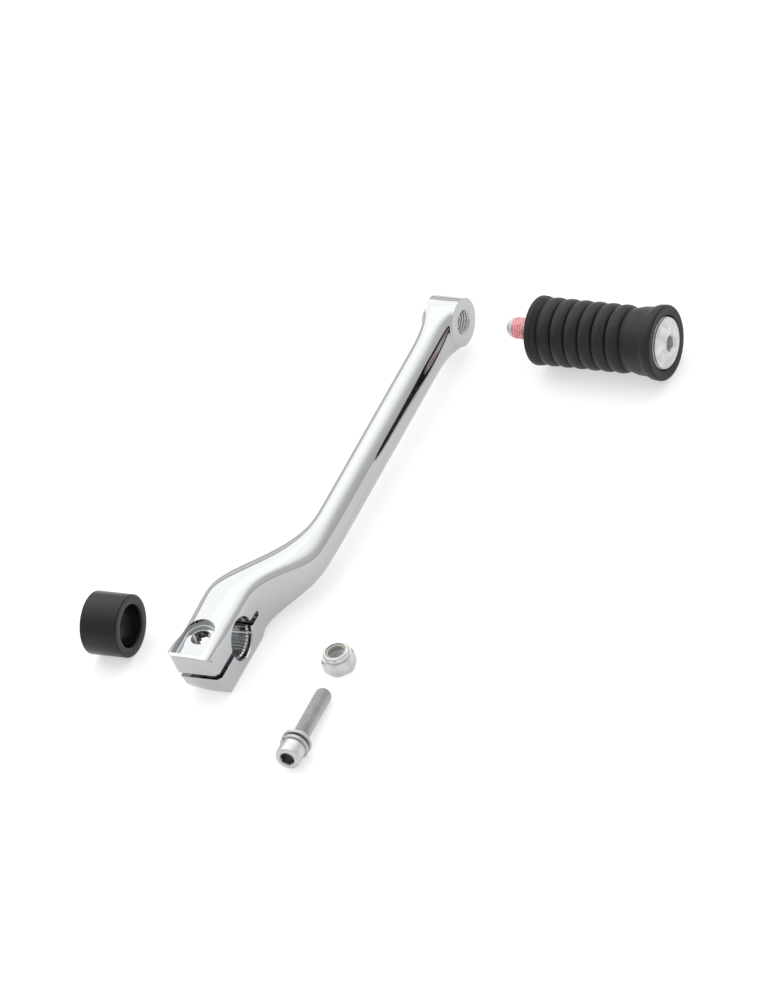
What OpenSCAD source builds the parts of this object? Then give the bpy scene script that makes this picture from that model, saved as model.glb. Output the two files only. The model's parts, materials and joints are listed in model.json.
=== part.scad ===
// Motorcycle gear shift lever, laid out as its kit of parts on a bench.
// The lever's splined clamp is at the origin. +X runs along the lever to the
// toe peg's eye, +Y is inboard along the shift shaft, and +Z is up.
// The toe peg and the shaft spacer lie on their own axes, ready to slide home.

/* [Clamp end] */
// Width of the clamp along the shift shaft
clamp_w = 18.6; // [16:0.2:24]
// Height of the clamp, both jaws and the slit together
clamp_h = 23; // [21:0.5:28]
// Distance from the shaft's axis to the front end at the top
clamp_front = 23; // [21:0.5:28]
// Radius to the tips of the spline teeth
spline_tip_r = 7.45; // [6.5:0.05:8.2]
// Depth of the grooves between the teeth
spline_depth = 0.45; // [0.3:0.05:0.6]
// Number of spline teeth
spline_teeth = 36; // [24:1:48]
// Width of the entry chamfer on the outboard face
entry_chamfer = 0.85; // [0.4:0.05:1.2]
// Width of the clamping slit
slit_w = 2.6; // [1.6:0.1:3.4]
// Length of the slit beyond the spline, to its round end
slit_past = 6.4; // [4:0.2:9]

/* [Clamp screw] */
// Diameter of the clamp screw's thread, 1/4 inch
screw_d = 6.35; // [5:0.05:7]
// Length of the clamp screw under its head
screw_len = 31.75; // [28:0.25:40]
// Diameter of the socket head
screw_head_d = 9.53; // [8:0.05:10.5]
// Height of the socket head
screw_head_h = 6.35; // [5:0.05:7]
// Hexagon socket of the clamp screw, across its flats
screw_hex = 4.76; // [4:0.01:5]
// Radial clearance of the clamp screw in the jaws
screw_clear = 0.33; // [0.2:0.01:0.6]
// Distance from the shaft's axis back to the clamp screw
bolt_x = 9.2; // [8.5:0.1:14]
// Offset of the clamp screw towards the inboard side
bolt_y = 1.4; // [0:0.1:3]
// Clearance around the washers in the pocket
pocket_clear = 0.55; // [0.3:0.05:0.9]
// Depth of the screw head's pocket
pocket_depth = 3.3; // [2:0.1:5]
// Wall left in front of the pocket
pocket_wall = 1.8; // [1.2:0.1:3]

/* [Washers and nut] */
// Outside diameter of the flat washer
washer_od = 11.3; // [10.5:0.1:11.9]
// Thickness of the flat washer
washer_t = 1.3; // [0.8:0.1:1.8]
// Outside diameter of the split lock washer
lock_od = 10.9; // [10:0.1:11.2]
// Thickness of the split lock washer
lock_t = 1.6; // [1.2:0.1:2]
// Width of the locknut across its flats
nut_af = 11.11; // [10:0.01:13]
// Height of the locknut with its nylon collar
nut_h = 7.9; // [6:0.1:9]

/* [Arm] */
// Distance from the shift shaft to the toe peg
lever_len = 167; // [140:1:200]
// Outboard offset of the peg eye's outer face from the clamp's outer face
eye_offset = 16.7; // [12:0.1:20]
// Thickness of the straight arm, along Y
arm_w = 11; // [9:0.2:12.4]
// Height of the straight arm
arm_h = 15; // [12:0.2:16.4]
// Corner radius of the straight arm
arm_r = 4.6; // [2:0.1:5]
// Corner radius beside the clamp
shoulder_r = 3; // [1:0.1:4]

/* [Peg eye] */
// Outside diameter of the eye
eye_d = 18.2; // [16.6:0.1:21]
// Length of the eye along the peg
eye_len = 12.7; // [11.4:0.1:16]
// Width of the rounded edge of the eye
eye_edge = 0.8; // [0.3:0.1:1.5]

/* [Toe peg] */
// Length of the rubber
peg_len = 53; // [45:1:70]
// Diameter over the ridges
peg_d = 25.4; // [24:0.2:26.4]
// Diameter of the outer end flange
flange_d = 28.2; // [27:0.2:30]
// Depth of the grooves between the ridges
ridge_depth = 0.8; // [0.4:0.1:1.2]
// Number of ridges
ridges = 6; // [4:1:8]
// Length of the smooth collar at the inner end
collar_len = 4.6; // [3.4:0.2:8]
// Length of the smooth band and flange at the outer end
band_len = 14.2; // [10:0.2:17]
// Outside diameter of the steel bush inside the rubber
bush_od = 12.7; // [11.5:0.1:14]

/* [Peg screw] */
// Diameter of the peg screw's thread, 5/16 inch
stud_d = 7.8; // [6.5:0.05:8.4]
// Radial clearance of the peg screw in the bush and in the eye
stud_clear = 0.2; // [0.15:0.01:0.4]
// How far the stud stands out of the bush
stud_out = 12.8; // [10:0.1:14]
// Diameter of the domed head
dome_d = 19.6; // [17:0.1:20.5]
// Height of the head's straight rim
rim_h = 1.9; // [1.2:0.1:2.6]
// Rise of the dome over the rim
dome_h = 2.5; // [1.5:0.1:3.5]
// Hexagon socket of the peg screw, across its flats
stud_hex = 5.56; // [4.5:0.01:6.4]
// Length of the thread-locking patch
patch_len = 8; // [5:0.5:8.5]
// Thickness of the thread-locking patch
patch_t = 0.08; // [0.04:0.01:0.12]

/* [Spacer] */
// Outside diameter of the shaft spacer
spacer_od = 23.4; // [22:0.2:28]
// Diameter of the spacer's hole, over the 5/8 inch shift shaft
spacer_id = 16; // [15.9:0.05:17]
// Length of the spacer
spacer_len = 15.2; // [10:0.2:20]
// Chamfer on the spacer's inner edges
spacer_chamfer = 0.7; // [0.3:0.1:1]

/* [Layout] */
// Gap between the clamp and the spacer on the bench
spacer_gap = 27.9; // [5:0.1:40]
// Gap between the eye and the rubber peg on the bench
peg_gap = 31.4; // [15:0.1:40]
// Distance from the clamp's outer face out to the locknut
nut_out = 36; // [20:0.5:60]
// Distance from the clamp's outer face out to the screw's head
screw_out = 40.6; // [25:0.5:60]
// Turn of the clamp screw on the bench, in degrees
screw_yaw = 4.2; // [0:0.1:10]

/* [Hidden] */
$fn = 64;

over = 1;              // how far a cutting tool runs past the surface it cuts
bench_z = -spacer_od / 2;
outer_y = -clamp_w / 2;

// clamp end
spline_root_r = spline_tip_r + spline_depth;
slit_end = spline_tip_r + slit_past;
clamp_back = slit_end + 3;
jaw_corner = 6;        // rounding under the inboard side of the lower jaw
front_corner = 3.5;    // rounding of the inboard front corner
front_chamfer = 1.6;   // chamfer of the outboard front corner
front_slope = 1.8;     // how far the front end leans back, from the top to the slit
chin_slope = 5.8;      // how far it leans back, from the top to the bottom
entry_depth = 2;
bolt_r = screw_d / 2 + screw_clear;
pocket_r = washer_od / 2 + pocket_clear;
pocket_z = clamp_h / 2 - pocket_depth;

// eye and arm
eye_x = lever_len;
eye_z = bench_z + flange_d / 2;
eye_out_y = outer_y - eye_offset;
eye_y = eye_out_y + eye_len / 2;
stud_hole_r = stud_d / 2 + stud_clear + patch_t;
stud_hole_chamfer = 0.6;
arm_z = 0;             // height of the straight arm's middle beside the jog
arm_y = eye_y + 0.7;   // middle of the straight arm beside the jog
jog_start = clamp_back - 1;
jog_end_out = jog_start + 25;
jog_end_in = jog_start + 43;
arm_embed = 5;         // how far the arm's sweep starts inside the clamp
skin = 0.1;            // how far the sweep's start lies under the clamp's faces
arm_rings = 32;
corner_steps = 4;

// toe peg
head_clear = 0.4;
bush_fit = 0.06;
recess_d = rim_h + 0.3;
bush_len = peg_len - recess_d;
peg_in_y = eye_out_y - peg_gap;
bush_out_y = peg_in_y - bush_len;
stud_len = bush_len + stud_out;
seat_gap = 0.1;        // daylight left between pieces that only touch
stud_tip_len = 2.6;
patch_start = 3.4;     // distance of the patch from the stud's tip
groove_r = peg_d / 2 - ridge_depth;
ridge_pitch = (peg_len - collar_len - band_len) / ridges;
ridge_steps = 8;
band_r = peg_d / 2 + 0.3;
flange_len = 4.4;
peg_edge = 0.9;

// clamp screw, lying on its flat washer and its tip
lock_gap = 0.05;
washer_gap = 1;
tip_chamfer = 1.1;
lock_x = screw_head_h + lock_gap;
washer_x = lock_x + lock_t + washer_gap;
washer_bearing = washer_x + washer_t;
tip_bearing = screw_head_h + screw_len - tip_chamfer;
screw_pitch = atan((washer_od - screw_d) / 2 / (tip_bearing - washer_bearing));
screw_x = -51.8;
screw_y = outer_y - screw_out;
screw_z = bench_z + washer_bearing * sin(screw_pitch) + washer_od / 2 * cos(screw_pitch);
washer_bore_r = screw_d / 2 + 0.25;
hex_depth = 3.2;

// locknut, standing on the bench
nut_x = 2.6;
nut_y = outer_y - nut_out;
nut_turn = 12;
collar_h = 2.2;        // height of the round collar that holds the nylon ring
collar_wall = 0.8;
nut_bore_r = screw_d / 2 + 0.1;
nylon_t = 1.6;
nylon_bore_r = screw_d / 2 - 0.25;

function ease(t) = let (u = min(1, max(0, t))) u * u * (3 - 2 * u);
function mix(a, b, t) = a + (b - a) * t;
function step_out(x) = ease((x - jog_start) / (jog_end_out - jog_start));
function step_in(x) = ease(pow(max(0, x - jog_start) / (jog_end_in - jog_start), 0.8));
function along(x) = max(0, x - jog_end_in) / (eye_x - jog_end_in);

// middle line of the straight arm, which climbs a little to the eye
function mid_y(x) = mix(arm_y, eye_y, along(x));
function mid_z(x) = mix(arm_z, eye_z, along(x));

// sides of the arm's section at a distance x from the shaft
function side_out(x) = mix(outer_y + skin, mid_y(x) - arm_w / 2, step_out(x));
function side_in(x) = mix(clamp_w / 2 - skin, mid_y(x) + arm_w / 2, step_in(x));
function side_low(x) = mix(-clamp_h / 2 + skin, mid_z(x) - arm_h / 2, step_out(x));
function side_top(x) = mix(clamp_h / 2 - skin, mid_z(x) + arm_h / 2, step_in(x));
function corner(x) = mix(shoulder_r, arm_r, step_out(x));

// one rounded rectangle, square to X
function ring(x) = let (r = corner(x), a = side_out(x), b = side_in(x), c = side_low(x), d = side_top(x))
    [for (q = [0:3], i = [0:corner_steps])
        let (angle = 90 * (q + i / corner_steps),
             y = (q == 0 || q == 3) ? b - r : a + r,
             z = (q < 2) ? d - r : c + r)
        [x, y + r * cos(angle), z + r * sin(angle)]];

module arm() {
    n = 4 * (corner_steps + 1);
    x0 = clamp_back - arm_embed;
    xs = [for (i = [0:arm_rings]) mix(x0, eye_x - 1, i / arm_rings)];
    points = [for (x = xs) each ring(x)];
    skin_faces = [for (k = [0:arm_rings - 1], i = [0:n - 1])
        let (p = k * n + i, q = k * n + (i + 1) % n)
        each [[p, q + n, q], [p, p + n, q + n]]];
    cap_start = [for (i = [0:n - 1]) i];
    cap_end = [for (i = [n - 1:-1:0]) arm_rings * n + i];
    polyhedron(points, concat(skin_faces, [cap_start, cap_end]), convexity = 6);
}

// outline of the clamp from outboard, with its leaning front end
module clamp_side() {
    h = clamp_h / 2;
    rotate([90, 0, 0])
        linear_extrude(clamp_w + 2 * over, center = true)
            polygon([[clamp_back, -h], [clamp_back, h], [-clamp_front, h],
                     [-clamp_front + front_slope, 0], [-clamp_front + chin_slope, -h]]);
}

// outline of the clamp from above, with one chamfered and one round corner
module clamp_plan() {
    w = clamp_w / 2;
    linear_extrude(clamp_h + 2 * over, center = true)
        union() {
            polygon([[clamp_back + over, -w], [clamp_back + over, w], [-clamp_front + front_corner, w],
                     [-clamp_front, w - front_corner], [-clamp_front, -w + front_chamfer],
                     [-clamp_front + front_chamfer, -w]]);
            translate([-clamp_front + front_corner, w - front_corner])
                circle(front_corner);
        }
}

// outline of the clamp from the front, rounded under its inboard side
module clamp_end() {
    w = clamp_w / 2;
    h = clamp_h / 2;
    rotate([90, 0, 90])
        linear_extrude(2 * (clamp_front + clamp_back), center = true)
            union() {
                polygon([[-w, -h], [w - jaw_corner, -h], [w, -h + jaw_corner], [w, h], [-w, h]]);
                translate([w - jaw_corner, -h + jaw_corner])
                    circle(jaw_corner);
            }
}

module spline_bore() {
    tooth = 360 / spline_teeth;
    reach = spline_tip_r * 0.97;
    half = spline_tip_r * sin(tooth * 0.3);
    rotate([90, 0, 0])
        linear_extrude(clamp_w + 2 * over, center = true)
            union() {
                circle(spline_tip_r);
                for (i = [0:spline_teeth - 1])
                    rotate(i * tooth + tooth / 2)
                        polygon([[reach, -half], [spline_root_r, -half * 0.35],
                                 [spline_root_r, half * 0.35], [reach, half]]);
            }
}

module entry_cone() {
    wide = spline_root_r + entry_chamfer - spline_depth;
    translate([0, outer_y - seat_gap, 0])
        rotate([-90, 0, 0])
            cylinder(h = entry_depth + seat_gap, r1 = wide, r2 = spline_tip_r);
}

module slit() {
    length = clamp_front + slit_end - slit_w / 2;
    translate([-clamp_front - over, -clamp_w / 2 - over, -slit_w / 2])
        cube([length + over, clamp_w + 2 * over, slit_w]);
    translate([slit_end - slit_w / 2, 0, 0])
        rotate([90, 0, 0])
            cylinder(h = clamp_w + 2 * over, d = slit_w, center = true);
}

module pocket() {
    translate([-bolt_x, bolt_y, pocket_z])
        cylinder(h = pocket_depth + over, r = pocket_r);
    translate([-clamp_front + pocket_wall, bolt_y - pocket_r, pocket_z])
        cube([clamp_front - pocket_wall - bolt_x, 2 * pocket_r, pocket_depth + over]);
}

module bolt_hole() {
    translate([-bolt_x, bolt_y, 0])
        cylinder(h = clamp_h + 2 * over, r = bolt_r, center = true);
}

// the eye's barrel, with its edges broken
module eye_barrel() {
    r = eye_d / 2;
    half = eye_len / 2;
    translate([eye_x, eye_y, eye_z])
        rotate([90, 0, 0])
            rotate_extrude()
                polygon([[0, -half], [r - eye_edge, -half], [r, -half + eye_edge],
                         [r, half - eye_edge], [r - eye_edge, half], [0, half]]);
}

// the threaded hole, drawn plain at its largest diameter, with countersunk ends
module eye_hole() {
    wide = stud_hole_r + stud_hole_chamfer;
    translate([eye_x, eye_y, eye_z])
        rotate([90, 0, 0]) {
            cylinder(h = eye_len + 2 * over, r = stud_hole_r, center = true);
            for (end = [-1, 1])
                translate([0, 0, end * (eye_len / 2 + seat_gap)])
                    mirror([0, 0, end > 0 ? 1 : 0])
                        cylinder(h = stud_hole_chamfer + seat_gap, r1 = wide, r2 = stud_hole_r);
        }
}

module lever() {
    color("gainsboro")
        difference() {
            union() {
                intersection() {
                    clamp_side();
                    clamp_plan();
                    clamp_end();
                }
                arm();
                eye_barrel();
            }
            spline_bore();
            entry_cone();
            slit();
            pocket();
            bolt_hole();
            eye_hole();
        }
}

module spacer() {
    r_in = spacer_id / 2;
    r_out = spacer_od / 2;
    c = spacer_chamfer;
    color([0.09, 0.09, 0.1])
        translate([0, clamp_w / 2 + spacer_gap + spacer_len, 0])
            rotate([90, 0, 0])
                rotate_extrude()
                    polygon([[r_in, c], [r_in + c, 0], [r_out - c / 2, 0], [r_out, c / 2],
                             [r_out, spacer_len - c / 2], [r_out - c / 2, spacer_len],
                             [r_in + c, spacer_len], [r_in, spacer_len - c]]);
}

// places a piece on the toe peg's axis: local +Z runs outboard from the peg's inner end
module on_peg() {
    translate([eye_x, peg_in_y, eye_z])
        rotate([90, 0, 0])
            children();
}

module peg_bush() {
    color("silver")
        on_peg()
            difference() {
                cylinder(h = bush_len, d = bush_od);
                translate([0, 0, -over])
                    cylinder(h = bush_len + 2 * over, r = stud_d / 2 + stud_clear + patch_t);
            }
}

// outline of the ridges: each is a shallow arch between two grooves
function ridge_points() = [for (i = [0:ridges * ridge_steps])
    let (s = i / ridge_steps)
    [groove_r + ridge_depth * pow(abs(sin(180 * s)), 0.7), collar_len + ridge_pitch * s]];

module peg_rubber() {
    r = flange_d / 2;
    recess_r = dome_d / 2 + head_clear;
    hole_r = bush_od / 2 + bush_fit;
    flange_z = peg_len - flange_len;
    color([0.16, 0.165, 0.17])
        on_peg()
            rotate_extrude()
                polygon(concat(
                    [[hole_r, 0], [peg_d / 2 - peg_edge, 0], [peg_d / 2 + 0.2, peg_edge],
                     [peg_d / 2 + 0.2, collar_len - 2], [groove_r, collar_len]],
                    ridge_points(),
                    [[band_r - 0.3, peg_len - band_len + 1.6], [band_r, flange_z - 0.4], [r - 0.5, flange_z],
                     [r, flange_z + 1], [r, peg_len - peg_edge], [r - peg_edge, peg_len],
                     [recess_r, peg_len], [recess_r, bush_len], [hole_r, bush_len]]));
}

module peg_screw() {
    rim_r = dome_d / 2;
    dome_r = (rim_r * rim_r + dome_h * dome_h) / (2 * dome_h);
    head_h = rim_h + dome_h;
    color("gainsboro")
        on_peg()
            difference() {
                union() {
                    translate([0, 0, bush_len + seat_gap])
                        intersection() {
                            cylinder(h = head_h, r = rim_r);
                            translate([0, 0, head_h - dome_r])
                                sphere(dome_r, $fn = 96);
                        }
                    translate([0, 0, -stud_out + stud_tip_len])
                        cylinder(h = stud_len - stud_tip_len + 2 * seat_gap, d = stud_d);
                    translate([0, 0, -stud_out])
                        cylinder(h = stud_tip_len, r1 = stud_d / 2 - 1.5, r2 = stud_d / 2);
                }
                translate([0, 0, bush_len + seat_gap + head_h - hex_depth])
                    cylinder(h = hex_depth + over, d = stud_hex / cos(30), $fn = 6);
            }
}

module thread_lock_patch() {
    color([0.85, 0.3, 0.32])
        on_peg()
            translate([0, 0, -stud_out + patch_start])
                difference() {
                    cylinder(h = patch_len, d = stud_d + 2 * patch_t);
                    translate([0, 0, -over])
                        cylinder(h = patch_len + 2 * over, d = stud_d);
                }
}

// places a piece on the lying screw's axis: local +Z runs from its head to its tip
module on_screw(distance = 0) {
    translate([screw_x, screw_y, screw_z])
        rotate([0, screw_pitch, screw_yaw])
            rotate([0, 90, 0])
                translate([0, 0, distance])
                    children();
}

module clamp_screw() {
    edge = 0.6;
    r = screw_head_d / 2;
    color("lightgray")
        on_screw()
            difference() {
                union() {
                    cylinder(h = edge, r1 = r - edge, r2 = r);
                    translate([0, 0, edge])
                        cylinder(h = screw_head_h - edge, r = r);
                    cylinder(h = tip_bearing, d = screw_d);
                    translate([0, 0, tip_bearing])
                        cylinder(h = tip_chamfer, d1 = screw_d, d2 = screw_d - 2 * tip_chamfer);
                }
                translate([0, 0, -over])
                    cylinder(h = hex_depth + over, d = screw_hex / cos(30), $fn = 6);
            }
}

module washer(od, thickness) {
    difference() {
        cylinder(h = thickness, d = od);
        translate([0, 0, -over])
            cylinder(h = thickness + 2 * over, r = washer_bore_r);
    }
}

module lock_washer() {
    split_w = 0.8;
    color("silver")
        on_screw(lock_x)
            difference() {
                washer(lock_od, lock_t);
                rotate(110)
                    translate([0, -split_w / 2, -over])
                        cube([lock_od, split_w, lock_t + 2 * over]);
            }
}

module flat_washer() {
    color("silver")
        on_screw(washer_x)
            washer(washer_od, washer_t);
}

module on_nut() {
    translate([nut_x, nut_y, bench_z])
        rotate(nut_turn)
            children();
}

module locknut() {
    hex_h = nut_h - collar_h;
    corner_d = nut_af / cos(30);
    color("gainsboro")
        on_nut()
            difference() {
                union() {
                    intersection() {
                        cylinder(h = hex_h, d = corner_d, $fn = 6);
                        union() {
                            cylinder(h = hex_h - 0.8, d = corner_d + over);
                            translate([0, 0, hex_h - 0.8])
                                cylinder(h = 0.8, d1 = corner_d, d2 = nut_af - 0.3);
                        }
                    }
                    cylinder(h = nut_h, d = nut_af - 1);
                }
                translate([0, 0, -over])
                    cylinder(h = nut_h + 2 * over, r = nut_bore_r);
                translate([0, 0, nut_h - nylon_t - 0.4])
                    cylinder(h = nylon_t + 0.4 + over, d = nut_af - 1 - 2 * collar_wall);
            }
}

module nylon_ring() {
    color("ivory")
        on_nut()
            translate([0, 0, nut_h - nylon_t - 0.4])
                difference() {
                    cylinder(h = nylon_t, d = nut_af - 1 - 2 * collar_wall);
                    translate([0, 0, -over])
                        cylinder(h = nylon_t + 2 * over, r = nylon_bore_r);
                }
}

lever();
spacer();
peg_bush();
peg_rubber();
peg_screw();
thread_lock_patch();
clamp_screw();
lock_washer();
flat_washer();
locknut();
nylon_ring();
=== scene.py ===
"""Gear shift lever kit: polished lever, toe peg, shaft spacer and hardware on a pale bench."""

import json
import math

import bpy
from bpy.props import FloatProperty, FloatVectorProperty, IntProperty, PointerProperty
from mathutils import Matrix, Vector


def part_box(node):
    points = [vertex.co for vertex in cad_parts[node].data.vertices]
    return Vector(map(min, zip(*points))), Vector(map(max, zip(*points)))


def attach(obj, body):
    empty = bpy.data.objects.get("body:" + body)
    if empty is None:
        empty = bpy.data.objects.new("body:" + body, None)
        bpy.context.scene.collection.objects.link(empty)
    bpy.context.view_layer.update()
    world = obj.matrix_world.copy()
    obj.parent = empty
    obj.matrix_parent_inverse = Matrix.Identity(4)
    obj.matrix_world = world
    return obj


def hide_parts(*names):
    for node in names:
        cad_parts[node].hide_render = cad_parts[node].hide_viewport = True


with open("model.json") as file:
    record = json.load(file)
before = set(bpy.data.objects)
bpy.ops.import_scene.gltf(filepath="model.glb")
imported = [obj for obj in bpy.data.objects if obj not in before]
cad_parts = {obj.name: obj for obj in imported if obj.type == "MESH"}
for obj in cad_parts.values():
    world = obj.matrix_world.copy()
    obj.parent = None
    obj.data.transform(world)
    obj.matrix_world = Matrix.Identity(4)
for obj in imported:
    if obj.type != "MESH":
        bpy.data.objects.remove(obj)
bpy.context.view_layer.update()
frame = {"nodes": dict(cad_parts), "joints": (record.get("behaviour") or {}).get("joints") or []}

bl_info = {
    "name": "Gear Shift Lever Kit",
    "version": (1, 0, 0),
    "blender": (4, 5, 0),
    "location": "View3D > Sidebar > Shift Lever",
    "description": "Builds a chromed shift lever with its toe peg, spacer and clamp hardware",
    "category": "Add Mesh",
}

MM = 0.001
BIG = 0.05  # longer than any cut needs to be
FINE = 1e-8  # below this, two places are the same to a cut

LEVER_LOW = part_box("lever")[0]
SPACER_LOW, SPACER_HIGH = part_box("spacer")
BUSH_LOW, BUSH_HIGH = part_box("peg_bush")
RUBBER_LOW, RUBBER_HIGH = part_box("peg_rubber")
STUD_LOW, STUD_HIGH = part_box("peg_screw")
PATCH_LOW, PATCH_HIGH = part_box("thread_lock_patch")
NUT_LOW, NUT_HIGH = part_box("locknut")
NYLON_LOW, NYLON_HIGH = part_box("nylon_ring")
SPACER_MID = (SPACER_LOW + SPACER_HIGH) / 2
BUSH_MID = (BUSH_LOW + BUSH_HIGH) / 2
NUT_MID = (NUT_LOW + NUT_HIGH) / 2
BENCH_Z = min(SPACER_LOW.z, NUT_LOW.z)
EYE_AXIS = Vector((BUSH_MID.x, 0, BUSH_MID.z))


# ---------------------------------------------------------------- settings

def length(name, text, value, least=0.0):
    """A length that a user may change, in metres."""
    return FloatProperty(name=name, description=text, default=value, min=least, unit="LENGTH", precision=5)


def colour(name, text, value):
    """A colour that a user may change."""
    return FloatVectorProperty(name=name, description=text, default=value, size=3, subtype="COLOR",
                               min=0, max=1)


class LeverSettings(bpy.types.PropertyGroup):
    """Sizes and finish of the chromed lever."""

    clamp_width: length("Clamp width", "Width of the clamp along the shaft", 18.6 * MM)
    clamp_height: length("Clamp height", "Height of both jaws with the slit", 23 * MM)
    spline_radius: length("Spline radius", "Radius to the tips of the teeth", 7.45 * MM)
    spline_depth: length("Spline depth", "Depth of the grooves between the teeth", 0.45 * MM)
    spline_teeth: IntProperty(name="Spline teeth", description="Number of teeth", default=36, min=12)
    slit_width: length("Slit", "Width of the clamping slit", 2.6 * MM)
    slit_end: length("Slit end", "Distance from the shaft's axis to the end of the slit", 13.85 * MM)
    bolt_back: length("Bolt distance", "Distance from the shaft's axis to the bolt hole", 9.2 * MM)
    bolt_inboard: length("Bolt offset", "Offset of the bolt hole to the inboard side", 1.4 * MM)
    pocket_radius: length("Pocket radius", "Radius of the pocket's round end", 6.2 * MM)
    pocket_depth: length("Pocket depth", "Depth of the screw head's pocket", 3.3 * MM)
    arm_width: length("Arm width", "Thickness of the straight arm", 11 * MM)
    arm_height: length("Arm height", "Height of the straight arm", 15 * MM)
    eye_diameter: length("Eye diameter", "Outside diameter of the peg's eye", 18.2 * MM)
    eye_length: length("Eye length", "Length of the eye along the peg", 12.7 * MM)
    chrome: colour("Chrome", "Reflectance of the chrome plate", (0.455, 0.464, 0.472))


class PegSettings(bpy.types.PropertyGroup):
    """Sizes and colours of the toe peg."""

    ridge_radius: length("Ridge radius", "Radius over the ridges", 12.7 * MM)
    ridge_depth: length("Ridge depth", "Depth of the grooves between ridges", 1.3 * MM)
    ridges: IntProperty(name="Ridges", description="Number of ridges", default=6, min=1)
    collar: length("Collar", "Length of the smooth collar at the inner end", 4.6 * MM)
    band: length("Band", "Length of the smooth band and flange at the outer end", 14.2 * MM)
    thread_pitch: length("Peg screw pitch", "Pitch of the peg screw, 24 to the inch", 1.058 * MM)
    rubber: colour("Rubber", "Colour of the rubber", (0.0055, 0.0065, 0.007))
    thread_lock: colour("Thread lock", "Colour of the dried thread lock", (0.66, 0.10, 0.12))


class HardwareSettings(bpy.types.PropertyGroup):
    """Sizes and colours of the clamp screw, its washers, the nut and the spacer."""

    screw_radius: length("Screw radius", "Radius of the clamp screw's thread", 3.175 * MM)
    screw_length: length("Screw length", "Length of the clamp screw under its head", 31.75 * MM)
    screw_pitch: length("Screw pitch", "Pitch of the clamp screw, 28 to the inch", 0.907 * MM)
    head_radius: length("Head radius", "Radius of the socket head", 4.765 * MM)
    head_height: length("Head height", "Height of the socket head", 6.35 * MM)
    nut_flats: length("Nut flats", "Width of the nut across its flats", 11.11 * MM)
    zinc: colour("Zinc", "Reflectance of the zinc plate", (0.60, 0.61, 0.615))
    spacer_black: colour("Spacer", "Colour of the plastic spacer", (0.0035, 0.0035, 0.004))
    nylon: colour("Nylon", "Colour of the locking ring", (0.36, 0.35, 0.30))


class StageSettings(bpy.types.PropertyGroup):
    """The bench, the lights and the camera."""

    bench: colour("Bench", "Colour of the bench", (0.52, 0.52, 0.52))
    glow: FloatProperty(name="Glow", description="How strongly the bench shines, as a light table does",
                        default=0.52, min=0)
    fill: FloatProperty(name="Fill", description="Brightness of the surroundings", default=0.92, min=0)
    key: FloatProperty(name="Key", description="Power of the overhead light in watts", default=0.35, min=0)
    lens: FloatProperty(name="Lens", description="Focal length in millimetres", default=800, min=50)
    view_height: length("View height", "Height of the view at the object", 359.4 * MM)
    view_right: length("View right", "How far right of the shaft's bore the camera looks", 51.655 * MM)
    view_up: length("View up", "How far above the shaft's bore the camera looks", 52.09 * MM)


# ---------------------------------------------------------------- modelling helpers

def select_only(piece):
    """Makes one object the only selected and active one."""
    if bpy.context.object and bpy.context.object.mode != "OBJECT":
        bpy.ops.object.mode_set(mode="OBJECT")
    bpy.ops.object.select_all(action="DESELECT")
    piece.select_set(True)
    bpy.context.view_layer.objects.active = piece


def edit(piece, select="SELECT"):
    """Enters edit mode with everything selected or nothing selected."""
    select_only(piece)
    bpy.ops.object.mode_set(mode="EDIT")
    bpy.ops.mesh.select_all(action=select)


def edit_selected(piece):
    """Enters edit mode with the selection as it is, which then takes in the corners of picked faces."""
    bpy.context.view_layer.objects.active = piece
    bpy.ops.object.mode_set(mode="EDIT")


def leave_edit():
    bpy.ops.object.mode_set(mode="OBJECT")


def pick(piece, kind, test):
    """Selects the vertices, edges or faces that pass a test, and nothing else. Ends in object mode."""
    edit(piece, "DESELECT")
    bpy.ops.mesh.select_mode(type={"vertices": "VERT", "edges": "EDGE", "polygons": "FACE"}[kind])
    leave_edit()
    for item in getattr(piece.data, kind):
        item.select = test(item)


def on_picked(piece, kind, test, operator, **settings):
    """Runs an edit mode operator on the items that pass a test."""
    pick(piece, kind, test)
    bpy.ops.object.mode_set(mode="EDIT")
    operator(**settings)
    leave_edit()


def tidy(piece, merge=1e-6):
    """Merges doubles and turns all faces outwards."""
    edit(piece)
    bpy.ops.mesh.remove_doubles(threshold=merge)
    bpy.ops.mesh.dissolve_degenerate(threshold=1e-7)
    bpy.ops.mesh.select_all(action="SELECT")
    bpy.ops.mesh.normals_make_consistent(inside=False)
    leave_edit()
    return piece


def place(piece, matrix):
    """Puts a piece where it belongs, with its place in its mesh."""
    piece.matrix_world = matrix
    select_only(piece)
    bpy.ops.object.transform_apply(location=True, rotation=True, scale=True)
    return piece


def modify(piece, kind, **settings):
    """Adds a modifier and applies it."""
    select_only(piece)
    modifier = piece.modifiers.new(kind.lower(), kind)
    for key, value in settings.items():
        setattr(modifier, key, value)
    bpy.ops.object.modifier_apply(modifier=modifier.name)
    return piece


def remove(piece):
    bpy.data.objects.remove(piece, do_unlink=True)


def combine(piece, other, operation="DIFFERENCE"):
    """Cuts, joins or intersects a piece with another one, which is used up."""
    modify(piece, "BOOLEAN", operation=operation, object=other, solver="MANIFOLD")
    remove(other)
    return piece


def lathe(name, outline, steps=128):
    """A turned piece about Z from a closed outline of (radius, height) points."""
    bpy.ops.mesh.primitive_circle_add(vertices=len(outline), radius=MM)
    piece = bpy.context.object
    piece.name = name
    for vertex, (radius, height) in zip(piece.data.vertices, outline):
        vertex.co = (radius, 0, height)
    edit(piece)
    bpy.ops.mesh.spin(steps=steps, angle=math.tau, center=(0, 0, 0), axis=(0, 0, 1))
    leave_edit()
    return tidy(piece, 2e-7)


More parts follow.
